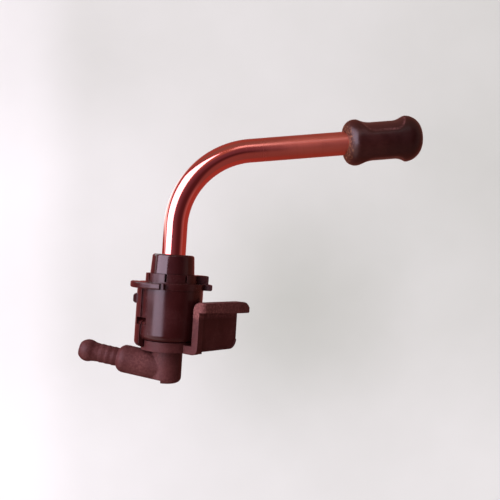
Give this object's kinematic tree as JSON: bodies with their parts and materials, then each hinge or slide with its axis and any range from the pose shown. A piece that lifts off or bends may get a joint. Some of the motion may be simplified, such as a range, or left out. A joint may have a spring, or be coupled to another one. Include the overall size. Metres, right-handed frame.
{
  "type": "swivelling steam wand",
  "caption": "Bent metal steam or water wand with a rubber grip, turning in a bayonet housing with a stop lever and a barbed hose elbow.",
  "frame": {"origin": "on the swivel axis, level with the underside of the two bayonet lugs, which is the face that rests on the machine's panel", "axes": "+Z along the swivel axis from the housing towards the tube, +X towards the side that the tube bends to, +Y completes a right-handed frame"},
  "size_m": [0.1118, 0.0268, 0.0952],
  "materials": {
    "copper_tube": "copper-coloured metal tube, mirror-polished at the bend and finely brushed near the grip",
    "gloss_plastic": "dark maroon-brown moulded plastic, high gloss",
    "satin_plastic": "dark maroon-brown moulded plastic, satin",
    "matte_plastic": "maroon-brown moulded plastic, matte with a fine grain",
    "bearing_plastic": "natural acetal, satin",
    "grip_rubber": "dark brown rubber with a soft sheen",
    "seal_rubber": "black seal rubber",
    "spring_wire": "stainless spring steel",
    "nozzle_brass": "turned brass"
  },
  "bodies": {
    "housing": {"bayonet_housing": "satin_plastic", "bearing_sleeve": "satin_plastic", "thrust_washer": "bearing_plastic"},
    "wand": {"swivel_core": "gloss_plastic", "friction_ring": "seal_rubber", "steam_tube": "copper_tube", "lower_tube_seal": "seal_rubber", "seal_spacer": "bearing_plastic", "upper_tube_seal": "seal_rubber", "gland_bush": "satin_plastic", "tube_clip": "spring_wire", "rubber_grip": "grip_rubber", "steam_nozzle": "nozzle_brass", "nozzle_seal_ring": "seal_rubber", "stop_lever": "matte_plastic", "neck_snap_ring": "spring_wire", "hose_elbow": "matte_plastic", "elbow_seal_ring": "seal_rubber", "elbow_clip": "spring_wire"}
  },
  "joints": [
    {"name": "wand_swivel", "type": "hinge", "parent": "housing", "child": "wand", "pos_m": [0, 0, 0], "axis": [0, 0, 1], "range_deg": [-45, 45]}
  ]
}
